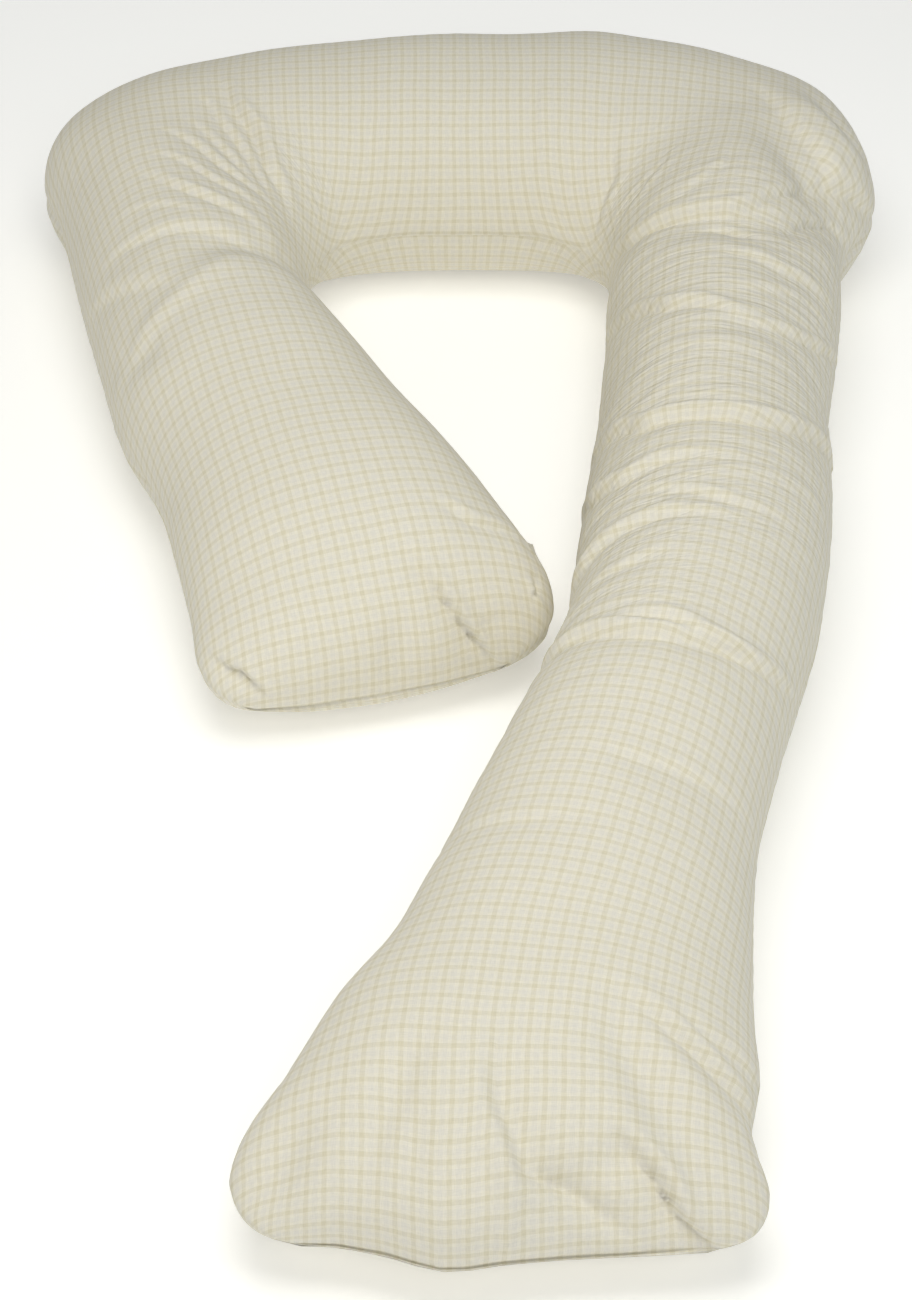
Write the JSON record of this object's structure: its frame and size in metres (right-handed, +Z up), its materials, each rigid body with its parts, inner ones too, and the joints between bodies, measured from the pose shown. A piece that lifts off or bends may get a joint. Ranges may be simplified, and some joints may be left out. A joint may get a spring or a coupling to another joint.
{
  "type": "body pillow",
  "caption": "Cane-shaped filled body pillow in checked cotton: a long leg with a wide foot, a top bar and a short leg, lying on its back.",
  "frame": {"origin": "on the floor, under the middle of the pillow's box", "axes": "+Z up, square to the pillow's face; the foot of the long leg points to -Y and the short leg lies at -X"},
  "size_m": [0.7674, 1.4626, 0.1966],
  "materials": {
    "check_cotton": "matt plain-weave cotton, cream with a small tan and pale grey check"
  },
  "bodies": {
    "root": {"pillow": "check_cotton"}
  },
  "joints": []
}
